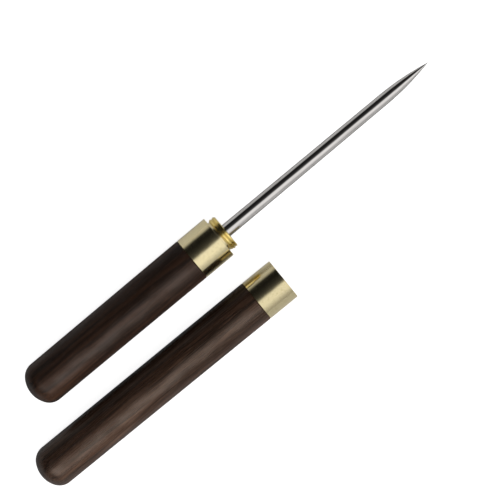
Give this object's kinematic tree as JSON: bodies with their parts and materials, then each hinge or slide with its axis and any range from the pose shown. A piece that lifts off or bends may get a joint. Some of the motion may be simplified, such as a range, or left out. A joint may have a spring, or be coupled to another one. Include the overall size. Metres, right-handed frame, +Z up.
{
  "type": "scratch awl",
  "caption": "Scratch awl: round wooden handle, brass ferrule and threaded neck, tapered steel needle, and a wooden screw cap with a brass mouth lying beside it.",
  "frame": {"origin": "the awl's own axis at the shoulder, the front face of the handle's ferrule, which the cap's mouth seats on when the tool is closed", "axes": "+X along the awl's axis towards the needle's point, +Z up from the bench that awl and cap lie on, +Y away from the cap"},
  "size_m": [0.181, 0.0385, 0.0151],
  "materials": {
    "handle_wood": "satin waxed, nearly black",
    "cap_wood": "satin waxed, dark brown",
    "ferrule_brass": "pale, polished along the lathe",
    "cap_ferrule_brass": "pale, polished along the lathe",
    "thread_brass": "freshly cut, golden",
    "needle_steel": "polished lengthwise",
    "pad_leather": "plain vegetable tanned"
  },
  "bodies": {
    "awl": {"handle": "handle_wood", "handle_ferrule": "ferrule_brass", "spigot": "thread_brass", "needle": "needle_steel"},
    "cap_floor": {"tip_pad": "pad_leather"},
    "cap": {"cap_sheath": "cap_wood", "cap_ferrule": "cap_ferrule_brass", "cap_bush": "thread_brass"}
  },
  "joints": [
    {"name": "cap_turn_round", "type": "hinge", "parent": "awl", "child": "cap_floor", "pos_m": [0.04919, -0.01207, -0.00022], "axis": [0, 0, 1], "range_deg": [0, 180.6]},
    {"name": "cap_screw", "type": "hinge", "parent": "cap_floor", "child": "cap", "pos_m": [0.00735, -0.0237, -0.00022], "axis": [0.9999, -0.0105, 0], "range_deg": [0, 540]}
  ]
}
